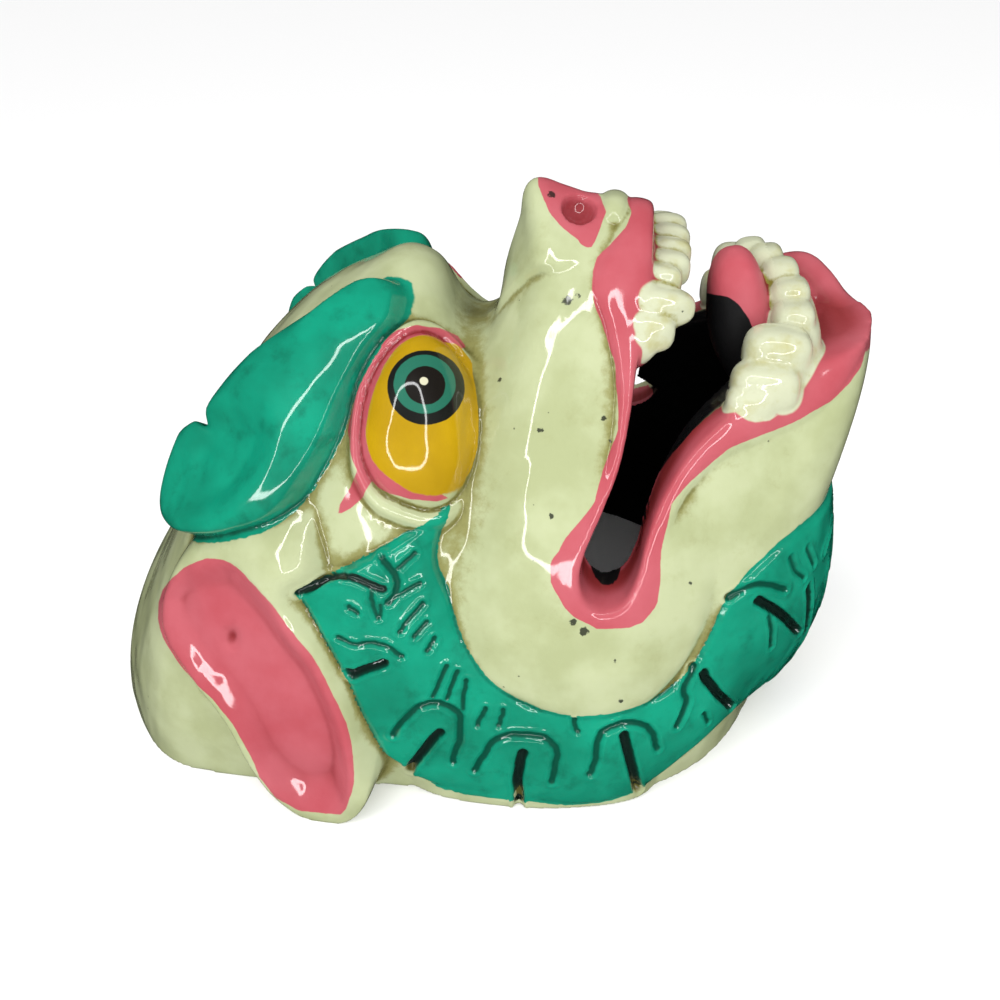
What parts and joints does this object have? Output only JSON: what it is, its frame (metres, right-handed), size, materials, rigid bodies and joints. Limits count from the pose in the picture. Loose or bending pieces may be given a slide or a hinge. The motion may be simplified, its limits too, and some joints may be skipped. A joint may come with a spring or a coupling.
{
  "type": "carved animal mask",
  "caption": "Hollow carved wooden lion mask with open jaws, bulging eyes, leaf ears and a scalloped mane, painted and varnished.",
  "frame": {"origin": "on the table the mask lies on, under the middle of its length and width", "axes": "+X to the lion's own left, +Y up the head to the crown, +Z out of the face, away from the flat back rim"},
  "size_m": [0.1742, 0.2262, 0.1526],
  "materials": {
    "painted_wood": "cream, green and pink paint under thick gloss varnish"
  },
  "bodies": {
    "root": {"carved_mask": "painted_wood"}
  },
  "joints": []
}
